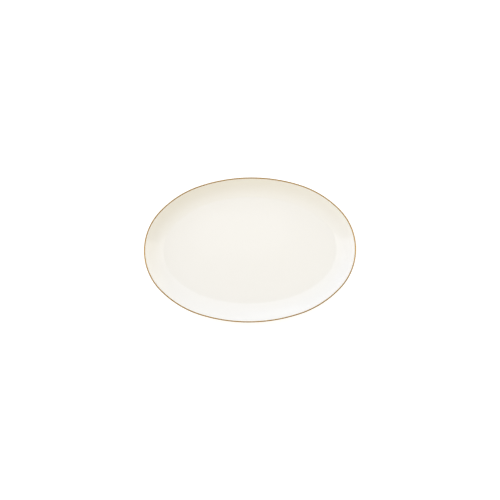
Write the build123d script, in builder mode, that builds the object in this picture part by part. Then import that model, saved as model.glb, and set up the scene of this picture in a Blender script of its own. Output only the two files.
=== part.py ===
from build123d import *
import math
import os
from collections import namedtuple

# An oval coupe serving platter in bone-white porcelain, glazed all over but for its standing foot,
# with a fired gold line round the lip.
# Millimetres. Origin in the middle of the standing plane of the foot, +X along the platter, +Z up.

# ---------------------------------------------------------------- driving dimensions
# The rim oval, seen from above: two end arcs, four shoulder arcs and two side arcs, all tangent.
LENGTH = 350.0
END_RADIUS = 94.1
SHOULDER_RADIUS = 160.3
END_TURN = 43.7  # degrees from the long axis to where an end arc meets a shoulder arc
SHOULDER_TURN = 72.0  # degrees from the long axis to where a shoulder arc meets a side arc

# Heights above the standing plane.
HEIGHT = 26.5  # top of the gilt lip
FOOT_HEIGHT = 3.6  # glazed underside of the floor, inside the foot ring
FLOOR_THICKNESS = 5.0  # glaze to glaze
GLAZE_STOP = 1.1  # the foot ring is bare below this

# The section through the wall, the same all round.
LIP_RADIUS = 1.0  # fully rounded lip, over the glaze
LIP_SLOPE = 50.0  # degrees from level, where the wall runs into the lip
CREASE_SLOPE = 12.0  # degrees from level, where the wall leaves the well's edge
CREASE_RADIUS = 8.0  # soft hollow between the well and the wall
BACK_RADIUS = 62.0  # outside of the wall; larger than the face's, so the wall thickens downwards

# The foot ring: horizontal distances in from the rim.
FOOT_OUTER = 37.5
FOOT_INNER = 42.5
FOOT_DRAFT = 0.5  # each side leans in by this much from top to bottom
FOOT_COVE = 1.5
FOOT_CORNER = 0.8
FLOOR_EDGE = 50.0  # inside this distance from the rim the floor is flat on both sides

# Skins.
GLAZE = 0.3
GILT = 0.1
GILT_BELOW = 35.0  # degrees round the lip that the line runs below its outermost point
GILT_REACH = 1.93  # how far in from the rim the line shows from above

# ---------------------------------------------------------------- the rim oval
Arc = namedtuple("Arc", "x y radius start sweep")


def along(angle):
    """Unit direction at an angle in degrees."""
    return math.cos(math.radians(angle)), math.sin(math.radians(angle))


end_cos, end_sin = along(END_TURN)
side_cos, side_sin = along(SHOULDER_TURN)
end_x = LENGTH / 2 - END_RADIUS
shoulder_x = end_x + (END_RADIUS - SHOULDER_RADIUS) * end_cos
shoulder_y = (END_RADIUS - SHOULDER_RADIUS) * end_sin
side_radius = SHOULDER_RADIUS + shoulder_x / side_cos  # puts the side arc's centre on the short axis
side_y = shoulder_y + (SHOULDER_RADIUS - side_radius) * side_sin
shoulder_sweep = SHOULDER_TURN - END_TURN

# The arcs from the +X end round to the -X end; turned half round, they make the rest of the rim.
half_rim = [
    Arc(end_x, 0, END_RADIUS, -END_TURN, 2 * END_TURN),
    Arc(shoulder_x, shoulder_y, SHOULDER_RADIUS, END_TURN, shoulder_sweep),
    Arc(0, side_y, side_radius, SHOULDER_TURN, 180 - 2 * SHOULDER_TURN),
    Arc(-shoulder_x, shoulder_y, SHOULDER_RADIUS, 180 - SHOULDER_TURN, shoulder_sweep),
]
rim = half_rim + [Arc(-a.x, -a.y, a.radius, a.start + 180, a.sweep) for a in half_rim]
width = 2 * (side_y + side_radius)


def oval(inset):
    """The rim oval drawn in by a distance, as a filled sketch."""
    with BuildSketch() as shape:
        with BuildLine():
            for a in rim:
                CenterArc((a.x, a.y), a.radius - inset, a.start, a.sweep)
        make_face()
    return shape.sketch


def section_plane(arc):
    """An upright plane across the wall at an arc's start: x is 0 at the rim and grows outwards."""
    outward_x, outward_y = along(arc.start)
    return Plane(
        origin=(arc.x + arc.radius * outward_x, arc.y + arc.radius * outward_y, 0),
        x_dir=(outward_x, outward_y, 0),
        z_dir=(outward_y, -outward_x, 0),
    )


def round_arc(arc):
    """Turns the section just drawn through one arc of the rim."""
    revolve(axis=Axis((arc.x, arc.y, 0), (0, 0, 1)), revolution_arc=arc.sweep)


# ---------------------------------------------------------------- the section's arcs
# Every arc of the glazed face is named by its centre; the biscuit and the gilding share the centres.
well_top = FOOT_HEIGHT + FLOOR_THICKNESS
lip_cos, lip_sin = along(LIP_SLOPE)
crease_cos, crease_sin = along(CREASE_SLOPE)
lip_x = -(LIP_RADIUS + GILT)
lip_z = HEIGHT - LIP_RADIUS - GILT
crease_rise = CREASE_RADIUS * (1 - crease_cos)
wall_rise = lip_z + LIP_RADIUS * lip_cos - well_top - crease_rise
wall_radius = wall_rise / (crease_cos - lip_cos)
wall_x = lip_x - (wall_radius + LIP_RADIUS) * lip_sin
wall_z = lip_z + (wall_radius + LIP_RADIUS) * lip_cos
crease_x = wall_x + (wall_radius - CREASE_RADIUS) * crease_sin
crease_z = well_top + CREASE_RADIUS
back_x = lip_x - (BACK_RADIUS - LIP_RADIUS) * lip_sin
back_z = lip_z + (BACK_RADIUS - LIP_RADIUS) * lip_cos

biscuit_top = well_top - GLAZE
biscuit_under = FOOT_HEIGHT + GLAZE
back_radius = BACK_RADIUS - GLAZE
foot_turn = math.degrees(math.asin((-FOOT_OUTER - back_x) / back_radius))  # where the back meets the foot
flat_floor = oval(FLOOR_EDGE)

# The unglazed section, from the flat floor out to the lip, with its foot ring.
with BuildSketch() as biscuit:
    with BuildLine():
        face = CenterArc((crease_x, crease_z), CREASE_RADIUS + GLAZE, -90, CREASE_SLOPE)
        CenterArc((wall_x, wall_z), wall_radius + GLAZE, CREASE_SLOPE - 90, LIP_SLOPE - CREASE_SLOPE)
        CenterArc((lip_x, lip_z), LIP_RADIUS - GLAZE, LIP_SLOPE - 90, 180)
        back = CenterArc((back_x, back_z), back_radius, foot_turn - 90, LIP_SLOPE - foot_turn)
        Polyline(
            back @ 0,
            (-FOOT_OUTER - FOOT_DRAFT, 0),
            (-FOOT_INNER + FOOT_DRAFT, 0),
            (-FOOT_INNER, biscuit_under),
            (-FLOOR_EDGE, biscuit_under),
            (-FLOOR_EDGE, biscuit_top),
            face @ 0,
        )
    make_face()
    fillet(biscuit.vertices().sort_by_distance(back @ 0)[0], FOOT_COVE)
    fillet(biscuit.vertices().sort_by_distance((-FOOT_INNER, biscuit_under))[0], FOOT_COVE)
    fillet(biscuit.vertices().group_by(Axis.Y)[0], FOOT_CORNER)

# The glaze lies on the biscuit in one even coat, which the foot ring divides in two. The part inside
# the ring is what lies inwards of the foot's middle and below the middle of the floor.
mid_foot = -(FOOT_OUTER + FOOT_INNER) / 2
mid_floor = (biscuit_top + biscuit_under) / 2
with BuildSketch() as coat:
    add(biscuit.sketch)
    offset(amount=GLAZE)
    add(biscuit.sketch, mode=Mode.SUBTRACT)
    with Locations((-FLOOR_EDGE, 0)):
        Rectangle(LENGTH, LENGTH, align=(Align.MAX, Align.CENTER), mode=Mode.SUBTRACT)
    with Locations((0, GLAZE_STOP)):
        Rectangle(LENGTH, LENGTH, align=(Align.CENTER, Align.MAX), mode=Mode.SUBTRACT)

# ---------------------------------------------------------------- porcelain body
# The fired biscuit: floor, wall and foot ring thrown and turned as one piece.
with BuildPart() as porcelain_body:
    for arc in rim:
        with BuildSketch(section_plane(arc)):
            add(biscuit.sketch)
        round_arc(arc)
    with BuildSketch(Plane.XY.offset(biscuit_under)):
        add(flat_floor)
    extrude(amount=biscuit_top - biscuit_under)

# ---------------------------------------------------------------- face glaze
# Clear ivory glaze over the well, the wall, the lip and the back, down to the foot ring.
with BuildPart() as face_glaze:
    for arc in rim:
        with BuildSketch(section_plane(arc)):
            add(coat.sketch)
            with Locations((mid_foot, mid_floor)):
                Rectangle(LENGTH, LENGTH, align=(Align.MAX, Align.MAX), mode=Mode.SUBTRACT)
        round_arc(arc)
    with BuildSketch(Plane.XY.offset(biscuit_top)):
        add(flat_floor)
    extrude(amount=GLAZE)

# ---------------------------------------------------------------- base glaze
# The same glaze on the underside, inside the foot ring.
with BuildPart() as base_glaze:
    for arc in rim:
        with BuildSketch(section_plane(arc)):
            add(coat.sketch)
            with Locations((mid_foot, mid_floor)):
                Rectangle(LENGTH, LENGTH, align=(Align.MAX, Align.MAX), mode=Mode.INTERSECT)
        round_arc(arc)
    with BuildSketch(Plane.XY.offset(FOOT_HEIGHT)):
        add(flat_floor)
    extrude(amount=GLAZE)

# ---------------------------------------------------------------- gilt rim line
# Liquid gold banded round the lip with a brush and fired on over the glaze.
gilt_top = math.degrees(math.acos((-GILT_REACH - lip_x) / (LIP_RADIUS + GILT)))
with BuildPart() as gilt_rim_line:
    for arc in rim:
        with BuildSketch(section_plane(arc)):
            with BuildLine():
                inner = CenterArc((lip_x, lip_z), LIP_RADIUS, -GILT_BELOW, GILT_BELOW + gilt_top)
                outer = CenterArc((lip_x, lip_z), LIP_RADIUS + GILT, -GILT_BELOW, GILT_BELOW + gilt_top)
                Line(inner @ 0, outer @ 0)
                Line(inner @ 1, outer @ 1)
            make_face()
        round_arc(arc)

# ---------------------------------------------------------------- write the pieces
porcelain_body.part.label = "porcelain_body"
face_glaze.part.label = "face_glaze"
base_glaze.part.label = "base_glaze"
gilt_rim_line.part.label = "gilt_rim_line"

os.makedirs("parts", exist_ok=True)
for piece in (porcelain_body, face_glaze, base_glaze, gilt_rim_line):
    export_step(piece.part, f"parts/{piece.part.label}.step")

print(f"length {LENGTH:.1f}  width {width:.1f}  height {HEIGHT:.1f}")
print(f"side radius {side_radius:.1f}  wall radius {wall_radius:.1f}  well edge {-crease_x:.1f} in")
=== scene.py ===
import math

import bpy
import numpy as np
from mathutils import Matrix, Vector


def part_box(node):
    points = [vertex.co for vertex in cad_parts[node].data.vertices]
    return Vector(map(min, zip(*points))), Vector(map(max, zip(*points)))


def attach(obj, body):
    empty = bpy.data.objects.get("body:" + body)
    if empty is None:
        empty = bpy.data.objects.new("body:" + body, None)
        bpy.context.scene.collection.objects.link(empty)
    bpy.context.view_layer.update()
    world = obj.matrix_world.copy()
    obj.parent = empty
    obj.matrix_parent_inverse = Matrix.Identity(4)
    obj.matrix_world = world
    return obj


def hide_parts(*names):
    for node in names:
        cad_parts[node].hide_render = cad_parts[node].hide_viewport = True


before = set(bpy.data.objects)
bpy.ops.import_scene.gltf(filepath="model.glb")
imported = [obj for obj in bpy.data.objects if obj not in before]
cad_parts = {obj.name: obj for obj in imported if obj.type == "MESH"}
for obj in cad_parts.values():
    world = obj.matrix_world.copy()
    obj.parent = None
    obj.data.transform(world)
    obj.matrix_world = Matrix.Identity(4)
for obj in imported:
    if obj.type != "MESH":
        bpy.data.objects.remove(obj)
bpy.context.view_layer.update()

# ---------------------------------------------------------------- porcelain body
# One piece of fired porcelain: a flat-floored oval well, a curved wall and a foot ring, pressed in a
# mould and trimmed. Only the foot's standing edge is left bare; everything else is under glaze.
# The oval is eight tangent arcs, and every point of the platter lies on one of them, drawn inwards.
MM = 0.001
END_RADIUS, SHOULDER_RADIUS = 94.1 * MM, 160.3 * MM
END_TURN, SHOULDER_TURN = math.radians(43.7), math.radians(72)
FOOT_HEIGHT, FLOOR_THICKNESS = 3.6 * MM, 5 * MM
LIP_RADIUS, LIP_SLOPE = 1.0 * MM, 50
CREASE_RADIUS, CREASE_SLOPE = 8 * MM, 12
BACK_RADIUS = 62 * MM
FOOT_OUTER, FOOT_INNER, FOOT_DRAFT, FOOT_COVE = 37.5 * MM, 42.5 * MM, 0.5 * MM, 1.5 * MM
FOOT_CORNER = 0.8 * MM
FLOOR_EDGE = 50 * MM
GLAZE, GILT = 0.3 * MM, 0.1 * MM
WELL_DISH = 0.25 * MM  # the floor sags this much to its middle in the kiln
RIM_SAG, SAG_TURN = 0.2 * MM, 0.7  # and the rim settles a little at two places, this far round
CREASE_STEPS, WALL_STEPS, LIP_STEPS, BACK_STEPS = 12, 48, 30, 44
FLOOR_RINGS, ROUND = 14, 512  # rings over the floor, and steps round the oval

gilt_low, gilt_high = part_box("gilt_rim_line")
length, height = gilt_high.x - gilt_low.x, gilt_high.z
end_x = length / 2 - END_RADIUS
shoulder_x = end_x + (END_RADIUS - SHOULDER_RADIUS) * math.cos(END_TURN)
shoulder_y = (END_RADIUS - SHOULDER_RADIUS) * math.sin(END_TURN)
side_radius = SHOULDER_RADIUS + shoulder_x / math.cos(SHOULDER_TURN)
side_y = shoulder_y + (SHOULDER_RADIUS - side_radius) * math.sin(SHOULDER_TURN)
well_top = FOOT_HEIGHT + FLOOR_THICKNESS
mid_floor = FOOT_HEIGHT + FLOOR_THICKNESS / 2


def oval(turns, inset):
    """Points on the oval drawn in by a distance, one for each direction that its outward normal turns to."""
    outward = np.stack([np.cos(turns), np.sin(turns)], axis=-1)
    folded = np.arctan2(np.abs(outward[..., 1]), np.abs(outward[..., 0]))[..., None]
    side = np.sign(outward)
    at_end, at_shoulder = folded <= END_TURN, folded <= SHOULDER_TURN
    centre = np.where(at_shoulder, (shoulder_x, shoulder_y), (0, side_y))
    centre = np.where(at_end, (end_x, 0), centre) * side
    radius = np.where(at_end, END_RADIUS, np.where(at_shoulder, SHOULDER_RADIUS, side_radius))
    return centre + (radius - inset) * outward


def arc(x, z, radius, start, sweep, count):
    """Points of an arc of the section, angles in degrees, as (distance in from the rim, height)."""
    angles = np.radians(np.linspace(start, start + sweep, count))
    return np.stack([-(x + radius * np.cos(angles)), z + radius * np.sin(angles)], axis=1)


def eased(before, corner, after, reach, count=7):
    """A corner of the section rounded off, starting and ending at a distance from it."""
    corner = np.array(corner)
    towards = [np.array(p) - corner for p in (before, after)]
    start, end = (corner + reach * t / np.linalg.norm(t) for t in towards)
    s = np.linspace(0, 1, count)[:, None]
    return (1 - s) ** 2 * start + 2 * s * (1 - s) * corner + s**2 * end


lip_slope, crease_slope = math.radians(LIP_SLOPE), math.radians(CREASE_SLOPE)
lip_x, lip_z = -(LIP_RADIUS + GILT), height - LIP_RADIUS - GILT
crease_rise = CREASE_RADIUS * (1 - math.cos(crease_slope))
wall_rise = lip_z + LIP_RADIUS * math.cos(lip_slope) - well_top - crease_rise
wall_radius = wall_rise / (math.cos(crease_slope) - math.cos(lip_slope))
wall_x = lip_x - (wall_radius + LIP_RADIUS) * math.sin(lip_slope)
wall_z = lip_z + (wall_radius + LIP_RADIUS) * math.cos(lip_slope)
crease_x = wall_x + (wall_radius - CREASE_RADIUS) * math.sin(crease_slope)
crease_z = well_top + CREASE_RADIUS
back_x = lip_x - (BACK_RADIUS - LIP_RADIUS) * math.sin(lip_slope)
back_z = lip_z + (BACK_RADIUS - LIP_RADIUS) * math.cos(lip_slope)


def wall_section(depth, fine=1.0):
    """The section at a depth under the glaze: flat floor, up the face, over the lip, down to the foot."""
    climb = LIP_SLOPE - CREASE_SLOPE
    face = arc(crease_x, crease_z, CREASE_RADIUS + depth, -90, CREASE_SLOPE, int(CREASE_STEPS * fine))
    wall = arc(wall_x, wall_z, wall_radius + depth, CREASE_SLOPE - 90, climb, int(WALL_STEPS * fine))
    lip = arc(lip_x, lip_z, LIP_RADIUS - depth, LIP_SLOPE + 90, -180, int(LIP_STEPS * fine))
    radius = BACK_RADIUS - depth
    foot_turn = math.degrees(math.asin((-FOOT_OUTER + depth - back_x) / radius))
    root = arc(back_x, back_z, radius, foot_turn - 90, 0, 1)[0]
    cove_turn = math.degrees(FOOT_COVE / radius)
    back_sweep = foot_turn + cove_turn - LIP_SLOPE
    back = arc(back_x, back_z, radius, LIP_SLOPE - 90, back_sweep, int(BACK_STEPS * fine))
    cove = eased(back[-1], root, (FOOT_OUTER + FOOT_DRAFT - depth, 0), FOOT_COVE)
    return np.concatenate([face, wall[1:], lip[1:], back[1:], cove[1:]])


def rings(section):
    """Section points as rows of (inset, height, share): a share under 1 draws the oval in to the middle."""
    return np.concatenate([section, np.ones((len(section), 1))], axis=1)


def floor_rings(z, count=FLOOR_RINGS):
    """The flat floor at a height, from its middle out to where the wall's section takes over."""
    share = np.linspace(0, 1, count + 1)[1:-1]
    return np.stack([np.full_like(share, FLOOR_EDGE), np.full_like(share, z), share], axis=1)


def settled(points, turns):
    """The kiln's slight sag: the well dishes in its middle and the rim drops a little at two places."""
    ripple = 0.5 - 0.5 * np.cos(2 * turns + SAG_TURN)
    lift = np.clip((points[..., 2] - well_top) / (height - well_top), 0, 1)
    points[..., 2] -= RIM_SAG * lift**2 * ripple
    half_long, half_wide = length / 2 - FLOOR_EDGE, side_y + side_radius - FLOOR_EDGE
    reach = np.hypot(points[..., 0] / half_long, points[..., 1] / half_wide)
    upper = points[..., 2] > mid_floor
    points[..., 2] -= np.where(upper, WELL_DISH * np.clip(1 - reach**2, 0, 1) ** 2, 0)
    return points


def turned(name, rows, count, closed=False, attributes=None):
    """A closed mesh: rows of (inset, height, share), which may change with the turn, taken round the oval.
    Unclosed rows start and end on the upright axis, where a middle point closes each side."""
    turns = (np.arange(count) + 0.5) * 2 * math.pi / count
    rows = np.broadcast_to(rows, (count, *rows.shape[-2:])) if rows.ndim == 2 else rows
    flat = oval(turns[:, None], rows[..., 0][..., None]) * rows[..., 2][..., None]
    points = settled(np.concatenate([flat, rows[..., 1][..., None]], axis=2), turns[:, None])
    per = rows.shape[1]
    index = np.arange(count * per).reshape(count, per)
    ahead = np.roll(index, -1, axis=0)
    last = per if closed else per - 1
    onward = np.roll(index, -1, axis=1)
    onward_ahead = np.roll(ahead, -1, axis=1)
    faces = np.stack([index, ahead, onward_ahead, onward], axis=2)[:, :last].reshape(-1, 4).tolist()
    points = points.reshape(-1, 3)
    if not closed:
        start, end = len(points), len(points) + 1
        middles = np.array([[0, 0, rows[0, 0, 1]], [0, 0, rows[0, -1, 1]]])
        middles[middles[:, 2] > mid_floor, 2] -= WELL_DISH
        points = np.concatenate([points, middles])
        faces += [[start, ahead[k, 0], index[k, 0]] for k in range(count)]
        faces += [[end, index[k, -1], ahead[k, -1]] for k in range(count)]
    mesh = bpy.data.meshes.new(name)
    mesh.from_pydata(points.tolist(), [], [[int(v) for v in face] for face in faces])
    mesh.validate()
    mesh.shade_smooth()
    for label, values in (attributes or {}).items():
        layer = mesh.attributes.new(label, "FLOAT", "POINT")
        spread = np.zeros(len(points), np.float32)
        spread[: count * per] = np.broadcast_to(values, (count, per)).reshape(-1)
        if not closed:
            spread[-2:] = spread[0], spread[per - 1]
        layer.data.foreach_set("value", spread)
    made = bpy.data.objects.new(name, mesh)
    bpy.context.scene.collection.objects.link(made)
    return made


def linear(code):
    """An sRGB hex colour as linear red, green, blue and alpha."""
    parts = [int(code[k : k + 2], 16) / 255 for k in (1, 3, 5)]
    return [c / 12.92 if c <= 0.04045 else ((c + 0.055) / 1.055) ** 2.4 for c in parts] + [1]


def node(tree, kind, values=None, **settings):
    """Adds a node: settings are its own, and values fill or link its inputs by name or number."""
    made = tree.nodes.new(kind)
    for key, value in settings.items():
        setattr(made, key, value)
    for key, value in (values or {}).items():
        if isinstance(value, bpy.types.NodeSocket):
            tree.links.new(value, made.inputs[key])
        else:
            made.inputs[key].default_value = value
    return made


def new_material(name):
    """A material with an empty node tree and its output."""
    made = bpy.data.materials.new(name)
    made.use_nodes = True
    made.node_tree.nodes.clear()
    return made, made.node_tree, node(made.node_tree, "ShaderNodeOutputMaterial")


biscuit_face = wall_section(GLAZE)
underside = FOOT_HEIGHT + GLAZE
foot_out, foot_in = FOOT_OUTER + FOOT_DRAFT, FOOT_INNER - FOOT_DRAFT
foot_root_out = (biscuit_face[-1][0], biscuit_face[-1][1])
foot_root_in = (FOOT_INNER, underside)
foot_section = np.concatenate([
    eased(foot_root_out, (foot_out, 0), (foot_in, 0), FOOT_CORNER),
    eased((foot_out, 0), (foot_in, 0), foot_root_in, FOOT_CORNER),
    eased((foot_in, 0), foot_root_in, (FLOOR_EDGE, underside), FOOT_COVE),
])
body_rows = np.concatenate([
    floor_rings(well_top - GLAZE),
    rings(np.array([[FLOOR_EDGE, well_top - GLAZE]])),
    rings(biscuit_face),
    rings(foot_section),
    rings(np.array([[FLOOR_EDGE, underside]])),
    floor_rings(underside)[::-1],
])
body = turned("porcelain_biscuit", body_rows, ROUND)

# Unglazed biscuit porcelain, fired and ground flat: a dry, fine-grained, warm off-white that gives no
# mirror shine, a little greyer and smoother on the edge that has slid on shelves.
BISCUIT, BISCUIT_GREY = "#E6DFD0", "#CFC9BC"
GRAIN, GRAIN_DEPTH, CLOUD, RUBBED_TO = 0.5 * MM, 0.05 * MM, 18 * MM, 0.35 * MM
biscuit, tree, out = new_material("unglazed_biscuit_porcelain")
place = node(tree, "ShaderNodeTexCoord").outputs["Object"]
height_of = node(tree, "ShaderNodeSeparateXYZ", {0: place}).outputs["Z"]
rubbed = node(tree, "ShaderNodeMapRange", {0: height_of, 1: RUBBED_TO, 2: 0.0, 3: 0.0, 4: 1.0}).outputs[0]
grain = node(tree, "ShaderNodeTexNoise", {
    "Vector": place, "Scale": 1 / GRAIN, "Detail": 4.0, "Roughness": 0.6,
})
cloud = node(tree, "ShaderNodeTexNoise", {"Vector": place, "Scale": 1 / CLOUD, "Detail": 3.0})
dirt = node(tree, "ShaderNodeMath", {0: rubbed, 1: cloud.outputs["Fac"]}, operation="MULTIPLY").outputs[0]
dirt = node(tree, "ShaderNodeMath", {0: grain.outputs["Fac"], 1: 0.25, 2: dirt}, operation="MULTIPLY_ADD")
tint = node(tree, "ShaderNodeMix", {
    0: dirt.outputs[0], 6: linear(BISCUIT), 7: linear(BISCUIT_GREY),
}, data_type="RGBA")
bump = node(tree, "ShaderNodeBump", {
    "Height": grain.outputs["Fac"], "Strength": 0.5, "Distance": GRAIN_DEPTH,
})
dull = node(tree, "ShaderNodeMapRange", {0: rubbed, 3: 0.82, 4: 0.6}).outputs[0]
skin = node(tree, "ShaderNodeBsdfPrincipled", {
    "Base Color": tint.outputs[2], "Roughness": dull, "Normal": bump.outputs[0], "IOR": 1.5,
})
tree.links.new(skin.outputs[0], out.inputs[0])
body.data.materials.append(biscuit)
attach(body, "root")
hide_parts("porcelain_body")

# ---------------------------------------------------------------- the two glazes
# One dip of clear ivory glaze, fired glossy over the face, the lip and the back. The wiped foot ring
# parts it from the same glaze inside the foot. Its tint runs a little deeper where it pooled in the hollows,
# and that deeper tint in the hollow at the well's edge and in the foot's inner corner is also painted shade.
GLAZE_STOP, STOP_ROUND = 1.1 * MM, 0.1 * MM
HIDDEN_SHARE, HIDDEN_RINGS = 0.18, 5  # the side of the coat against the body needs fewer steps
# Where the deeper tint lies and how wide it is: pooled glaze, and painted shade in the hollow at the well's
# edge.
POOL_AND_SHADE_AT, POOL_AND_SHADE_WIDE, LIP_WIDE = 36 * MM, 6 * MM, 3 * MM
EVEN, POOLED_AND_SHADED = 0.35, 0.45  # how much of the deeper tint an even coat takes, and a pooled one, which also carries painted shade


def stopped(section, lean):
    """A section cut off where the glaze was wiped from the foot, following the foot's lean."""
    end = section[-1]
    fall = end[1] - GLAZE_STOP
    return np.concatenate([section, [[end[0] + lean * fall, GLAZE_STOP]]])


foot_lean = FOOT_DRAFT / FOOT_HEIGHT
face_out = stopped(wall_section(0), foot_lean)
face_in = stopped(wall_section(GLAZE, HIDDEN_SHARE), foot_lean)
stop_middle = (face_out[-1] + face_in[-1]) / 2 - [0, STOP_ROUND]
face_end = eased(face_out[-1], stop_middle, face_in[-1], STOP_ROUND, 5)
face_rows = np.concatenate([
    floor_rings(well_top),
    rings(np.array([[FLOOR_EDGE, well_top], [(FLOOR_EDGE - crease_x) / 2, well_top]])),
    rings(face_out),
    rings(face_end),
    rings(face_in[::-1]),
    rings(np.array([[FLOOR_EDGE, well_top - GLAZE]])),
    floor_rings(well_top - GLAZE, HIDDEN_RINGS)[::-1],
])


def pooling_and_hollow_shade(rows):
    """How deep the tint lies at each row: most in the hollow at the well's edge, where the glaze pools and
    painted shade darkens it, least on the lip.
    """
    inset = rows[:, 0]
    hollow = np.exp(-(((inset - POOL_AND_SHADE_AT) / POOL_AND_SHADE_WIDE) ** 2))
    thin = np.exp(-((inset / LIP_WIDE) ** 2))
    return EVEN + (POOLED_AND_SHADED - EVEN) * hollow - EVEN * thin


face = turned("ivory_face_glaze", face_rows, ROUND, attributes={"pool_and_hollow_shade": pooling_and_hollow_shade(face_rows)})

base_out = np.concatenate([
    [[foot_in + foot_lean * GLAZE_STOP + GLAZE, GLAZE_STOP]],
    eased((foot_in, 0), (FOOT_INNER + GLAZE, FOOT_HEIGHT), (FLOOR_EDGE, FOOT_HEIGHT), FOOT_COVE - GLAZE),
    [[FLOOR_EDGE, FOOT_HEIGHT]],
])
base_in = np.concatenate([
    [[foot_in + foot_lean * GLAZE_STOP, GLAZE_STOP]],
    eased((foot_in, 0), foot_root_in, (FLOOR_EDGE, underside), FOOT_COVE),
    [[FLOOR_EDGE, underside]],
])
base_rows = np.concatenate([
    floor_rings(underside), rings(base_in[::-1]), rings(base_out), floor_rings(FOOT_HEIGHT)[::-1],
])
base = turned("ivory_base_glaze", base_rows, ROUND, attributes={"pool_and_hollow_shade": pooling_and_hollow_shade(base_rows)})

# Glossy feldspar glaze over white porcelain: a clean mirror of the lights on a very pale ivory ground,
# a shade deeper where it pooled and where painted shade darkens the hollow at the well's edge, with the
# faint ripple of a dipped coat.
IVORY, DEEP_IVORY = "#EFEFEB", "#EDECE6"
RIPPLE, PEEL, MOTTLE = 14 * MM, 2.2 * MM, 35 * MM
RIPPLE_DEPTH, PEEL_DEPTH = 0.010 * MM, 0.0010 * MM
glazed, tree, out = new_material("ivory_glazed_porcelain")
place = node(tree, "ShaderNodeTexCoord").outputs["Object"]
# The deeper tint mixes random mottling with the pooling attribute, which also paints shade into the hollows.
pool_and_hollow_shade = node(tree, "ShaderNodeAttribute", attribute_name="pool_and_hollow_shade").outputs["Fac"]
mottle = node(tree, "ShaderNodeTexNoise", {"Vector": place, "Scale": 1 / MOTTLE, "Detail": 3.0})
depth = node(tree, "ShaderNodeMath", {0: mottle.outputs["Fac"], 1: 0.25, 2: pool_and_hollow_shade}, operation="MULTIPLY_ADD")
tint = node(tree, "ShaderNodeMix", {
    0: depth.outputs[0], 6: linear(IVORY), 7: linear(DEEP_IVORY),
}, data_type="RGBA")
ripple = node(tree, "ShaderNodeTexNoise", {"Vector": place, "Scale": 1 / RIPPLE, "Detail": 1.0})
peel = node(tree, "ShaderNodeTexNoise", {"Vector": place, "Scale": 1 / PEEL, "Detail": 2.0})
soft = node(tree, "ShaderNodeBump", {
    "Height": ripple.outputs["Fac"], "Strength": 1.0, "Distance": RIPPLE_DEPTH,
})
fine = node(tree, "ShaderNodeBump", {
    "Height": peel.outputs["Fac"], "Strength": 1.0, "Distance": PEEL_DEPTH, "Normal": soft.outputs[0],
})
gloss = node(tree, "ShaderNodeMapRange", {0: mottle.outputs["Fac"], 3: 0.05, 4: 0.1}).outputs[0]
skin = node(tree, "ShaderNodeBsdfPrincipled", {
    "Base Color": tint.outputs[2], "Roughness": gloss, "Normal": fine.outputs[0], "IOR": 1.52,
})
tree.links.new(skin.outputs[0], out.inputs[0])
for piece, cad_node in ((face, "face_glaze"), (base, "base_glaze")):
    piece.data.materials.append(glazed)
    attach(piece, "root")
    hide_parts(cad_node)

# ---------------------------------------------------------------- gilt rim line
# Liquid bright gold, brushed round the outside, the crown and the inner edge of the lip, and fired on
# over the glaze. Both its edges waver slightly, and it is thinner along them.
GILT_BELOW, LOW_SWING = 35, 4  # its lower edge, in degrees under the lip's outermost point, and its swing
GILT_REACH, GILT_WAVER = 1.93 * MM, 0.07 * MM  # its inner edge, in from the rim, and its swing
GILT_BED = 0.03 * MM  # how far it is sunk into the glaze
BRUSH_EDGE, BRUSH_RISE = 0.2, 2.2  # the share of its thickness at the edges, and how soon it is full
GILT_COUNT, GILT_ACROSS = 1536, 25
SLOW_WAVES, QUICK_WAVES, LOW_WAVES = (2, 3, 5, 9, 14), (37, 61, 90), (2, 4, 7, 11, 40)  # round the rim
rng = np.random.default_rng(7)
turns = (np.arange(GILT_COUNT) + 0.5) * 2 * math.pi / GILT_COUNT


def waver(cycles):
    """A closed line's small random swing, between about -1 and 1, from a few whole numbers of waves."""
    swing = sum(np.cos(n * turns + rng.uniform(0, 2 * math.pi)) / math.sqrt(n) for n in cycles)
    return swing / np.abs(swing).max()


inner_reach = GILT_REACH + GILT_WAVER * (0.7 * waver(SLOW_WAVES) + 0.3 * waver(QUICK_WAVES))
top_angle = np.arccos((-inner_reach - lip_x) / (LIP_RADIUS + GILT))
low_angle = -np.radians(GILT_BELOW + LOW_SWING * waver(LOW_WAVES))
across = np.linspace(0, 1, GILT_ACROSS)
angle = low_angle[:, None] + (top_angle - low_angle)[:, None] * across
full = np.clip(np.sin(np.pi * across) * BRUSH_RISE, 0, 1)
thick = (GILT * BRUSH_EDGE + GILT * (1 - BRUSH_EDGE) * full) * np.ones_like(angle)
outer_r, inner_r = LIP_RADIUS + thick, np.full_like(angle, LIP_RADIUS - GILT_BED)
radii = np.concatenate([outer_r, inner_r[:, ::-1]], axis=1)
angles = np.concatenate([angle, angle[:, ::-1]], axis=1)
gilt_rows = np.stack([
    -(lip_x + radii * np.cos(angles)), lip_z + radii * np.sin(angles), np.ones_like(radii),
], axis=2)
width_share = np.concatenate([across, across[::-1]]) * np.ones_like(radii)
gilt = turned("gilt_rim_line_band", gilt_rows[:, ::-1], GILT_COUNT, closed=True,
              attributes={"across": width_share[:, ::-1]})

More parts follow.
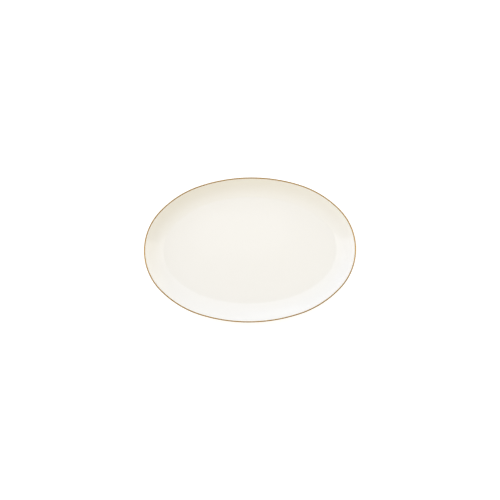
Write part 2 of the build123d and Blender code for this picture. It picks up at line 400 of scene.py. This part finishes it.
# Fired bright gold: a warm yellow metal with a soft shine, broken by faint brush streaks that run along
# the line, and browner at both edges, where the brush left it thin over the glaze.
GOLD, GOLD_THIN = "#AB8326", "#8F691E"
STREAK_RUN, STREAKS, STREAK_DEPTH, PATCH = 25 * MM, 7, 0.01 * MM, 6 * MM
gold, tree, out = new_material("fired_bright_gold")
place = node(tree, "ShaderNodeTexCoord").outputs["Object"]
share = node(tree, "ShaderNodeAttribute", attribute_name="across").outputs["Fac"]
edge = node(tree, "ShaderNodeMath", {0: share, 1: 0.5}, operation="SUBTRACT").outputs[0]
edge = node(tree, "ShaderNodeMath", {0: edge}, operation="ABSOLUTE").outputs[0]
edge = node(tree, "ShaderNodeMapRange", {0: edge, 1: 0.40, 2: 0.5, 3: 0.0, 4: 0.6}).outputs[0]
lane = node(tree, "ShaderNodeMath", {0: share, 1: STREAKS * STREAK_RUN}, operation="MULTIPLY").outputs[0]
streak = node(tree, "ShaderNodeTexNoise", {
    "Vector": place, "W": lane, "Scale": 1 / STREAK_RUN, "Detail": 2.0,
}, noise_dimensions="4D").outputs["Fac"]
patch = node(tree, "ShaderNodeTexNoise", {"Vector": place, "Scale": 1 / PATCH, "Detail": 4.0}).outputs["Fac"]
thin = node(tree, "ShaderNodeMath", {0: streak, 1: 0.35, 2: edge}, operation="MULTIPLY_ADD").outputs[0]
tint = node(tree, "ShaderNodeMix", {0: thin, 6: linear(GOLD), 7: linear(GOLD_THIN)}, data_type="RGBA")
dull = node(tree, "ShaderNodeMapRange", {0: patch, 3: 0.14, 4: 0.3}).outputs[0]
combed = node(tree, "ShaderNodeBump", {"Height": streak, "Strength": 0.6, "Distance": STREAK_DEPTH})
skin = node(tree, "ShaderNodeBsdfPrincipled", {
    "Base Color": tint.outputs[2], "Metallic": 1.0, "Roughness": dull, "Normal": combed.outputs[0],
})
tree.links.new(skin.outputs[0], out.inputs[0])
gilt.data.materials.append(gold)
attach(gilt, "root")
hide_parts("gilt_rim_line")

# ---------------------------------------------------------------- studio
# A pale matt sheet lit from beneath, a tent of soft lights, and a camera almost straight above. To the
# camera the sheet looks brighter than it lights the platter, which no real sheet does, so that the
# platter's back keeps its shading.
FLOOR_SIZE, FLOOR_GAP, TOOTH = 5.6, 0.1 * MM, 60 * MM
LIT_SEEN, LIT_BELOW = 0.60, 0.18
BOARD, BOARD_LIGHT = "#C6C6C5", "#C9C9C8"
mesh = bpy.data.meshes.new("table")
half = FLOOR_SIZE / 2
corners = [(-half, -half), (half, -half), (half, half), (-half, half)]
mesh.from_pydata([(x, y, -FLOOR_GAP) for x, y in corners], [], [(0, 1, 2, 3)])
table = bpy.data.objects.new("table", mesh)
bpy.context.scene.collection.objects.link(table)
paper, tree, out = new_material("matt_white_board")
place = node(tree, "ShaderNodeTexCoord").outputs["Object"]
tooth = node(tree, "ShaderNodeTexNoise", {"Vector": place, "Scale": 1 / TOOTH, "Detail": 2.0})
tint = node(tree, "ShaderNodeMix", {
    0: tooth.outputs["Fac"], 6: linear(BOARD), 7: linear(BOARD_LIGHT),
}, data_type="RGBA")
lit = node(tree, "ShaderNodeLightPath").outputs["Is Camera Ray"]
lit = node(tree, "ShaderNodeMapRange", {0: lit, 3: LIT_BELOW, 4: LIT_SEEN}).outputs[0]
board = node(tree, "ShaderNodeBsdfPrincipled", {
    "Base Color": tint.outputs[2], "Roughness": 0.9, "Specular IOR Level": 0.2,
    "Emission Color": (1, 1, 1, 1), "Emission Strength": lit,
})
tree.links.new(board.outputs[0], out.inputs[0])
mesh.materials.append(paper)


def softbox(name, place, aim, size, radiance, colour="#F0F4FF"):
    """A rectangular soft light: its place, what it faces, its width and height, and how bright it looks."""
    lamp = bpy.data.lights.new(name, "AREA")
    lamp.shape, lamp.size, lamp.size_y = "RECTANGLE", *size
    lamp.energy, lamp.color = radiance * math.pi * size[0] * size[1], linear(colour)[:3]
    made = bpy.data.objects.new(name, lamp)
    made.location = place
    made.rotation_mode = "QUATERNION"
    made.rotation_quaternion = (Vector(aim) - Vector(place)).to_track_quat("-Z", "Y")
    made.visible_camera = False
    bpy.context.scene.collection.objects.link(made)
    return made


# A tent of cloth over the table, open at the front: two side walls, a back wall and a roof with a gap
# in its middle for the camera, a strip of brighter light behind, and a small panel over the camera.
TENT_SIDE, TENT_BACK, TENT_FRONT, TENT_TOP = 1.8, 2.0, -0.32, 2.4
middle, deep, up = (TENT_BACK + TENT_FRONT) / 2, TENT_BACK - TENT_FRONT, TENT_TOP / 2
NUDGE = 0.0001  # a light that points straight down needs a hint of which way is its top


def side_wall(name, x, radiance, colour):
    """A side of the tent, facing inwards."""
    softbox(name, (x, middle, up), (0, middle, up), (deep, TENT_TOP), radiance, colour)


def overhead(name, x, y, z, size, radiance):
    """A light that hangs flat and points down."""
    softbox(name, (x, y, z), (x, y + NUDGE, 0), size, radiance)


side_wall("left_wall", -TENT_SIDE, 1.30, "#DEE4FF")
side_wall("right_wall", TENT_SIDE, 1.15, "#FFFDF9")
softbox("back_wall", (0, TENT_BACK, up), (0, 0, up), (2 * TENT_SIDE, TENT_TOP), 0.89)
overhead("roof", 0, 1.25, TENT_TOP, (2 * TENT_SIDE, 1.5), 0.63)
overhead("roof_left", -1.2, 0.1, TENT_TOP, (1.2, 0.8), 1.1)
overhead("roof_right", 1.2, 0.1, TENT_TOP, (1.2, 0.8), 1.1)
softbox("strip", (-0.25, 1.95, 0.95), (0, 0, 0), (0.55, 0.85), 0.60, "#DDE6FF")
overhead("camera_panel", -0.03, 0.185, 2.5, (0.33, 0.145), 0.45)

# The room's own light: dim all round, warm on both sides of the front, paler low down and lighter above.
FRONT_LEFT, FRONT_RIGHT, UP = (-0.683, -0.683, 0.259), (0.683, -0.683, 0.259), (0, 0, 1)
sky = bpy.data.worlds.new("studio_air")
sky.use_nodes = True
tree = sky.node_tree
tree.nodes.clear()
look = node(tree, "ShaderNodeTexCoord").outputs["Generated"]
air = (0.13, 0.12, 0.10, 1)
for towards, start, full, colour in (
    (FRONT_LEFT, 0.26, 0.97, (0.67, 0.60, 0.44, 1)),
    (FRONT_RIGHT, 0.26, 0.97, (0.28, 0.20, 0.06, 1)),
    (UP, 0.35, 0.12, (0.38, 0.37, 0.32, 1)),
    (UP, 0.50, 1.00, (0.65, 0.66, 0.69, 1)),
):
    near = node(tree, "ShaderNodeVectorMath", {0: look, 1: towards}, operation="DOT_PRODUCT").outputs["Value"]
    share = node(tree, "ShaderNodeMapRange", {0: near, 1: start, 2: full}, interpolation_type="SMOOTHSTEP")
    added = {0: share.outputs[0], 6: air, 7: colour}
    air = node(tree, "ShaderNodeMix", added, data_type="RGBA", blend_type="ADD").outputs[2]
seen = node(tree, "ShaderNodeLightPath").outputs["Is Camera Ray"]
shade = node(tree, "ShaderNodeMix", {0: seen, 6: air, 7: (1, 1, 1, 1)}, data_type="RGBA")
glow = node(tree, "ShaderNodeBackground", {"Color": shade.outputs[2]})
node(tree, "ShaderNodeOutputWorld", {0: glow.outputs[0]})
bpy.context.scene.world = sky
bpy.context.scene.view_settings.view_transform = "Standard"

# A long lens almost straight above, a little to the front, and turned by just under a degree.
LENS, SENSOR, VIEW_WIDTH = 85, 36, 0.8245
ELEVATION, ROLL = math.radians(87.2), math.radians(0.92)
AIM = Vector((0, -0.47 * MM, height))
lens = bpy.data.cameras.new("camera")
lens.lens, lens.sensor_width = LENS, SENSOR
lens.clip_start, lens.clip_end = 0.05, 50
camera = bpy.data.objects.new("camera", lens)
back = Vector((0, -math.cos(ELEVATION), math.sin(ELEVATION)))
camera.location = AIM + back * VIEW_WIDTH * LENS / SENSOR
camera.rotation_mode = "QUATERNION"
level = (-back).to_track_quat("-Z", "Y").to_matrix()
camera.rotation_quaternion = (level @ Matrix.Rotation(-ROLL, 3, "Z")).to_quaternion()
bpy.context.scene.collection.objects.link(camera)
bpy.context.scene.camera = camera
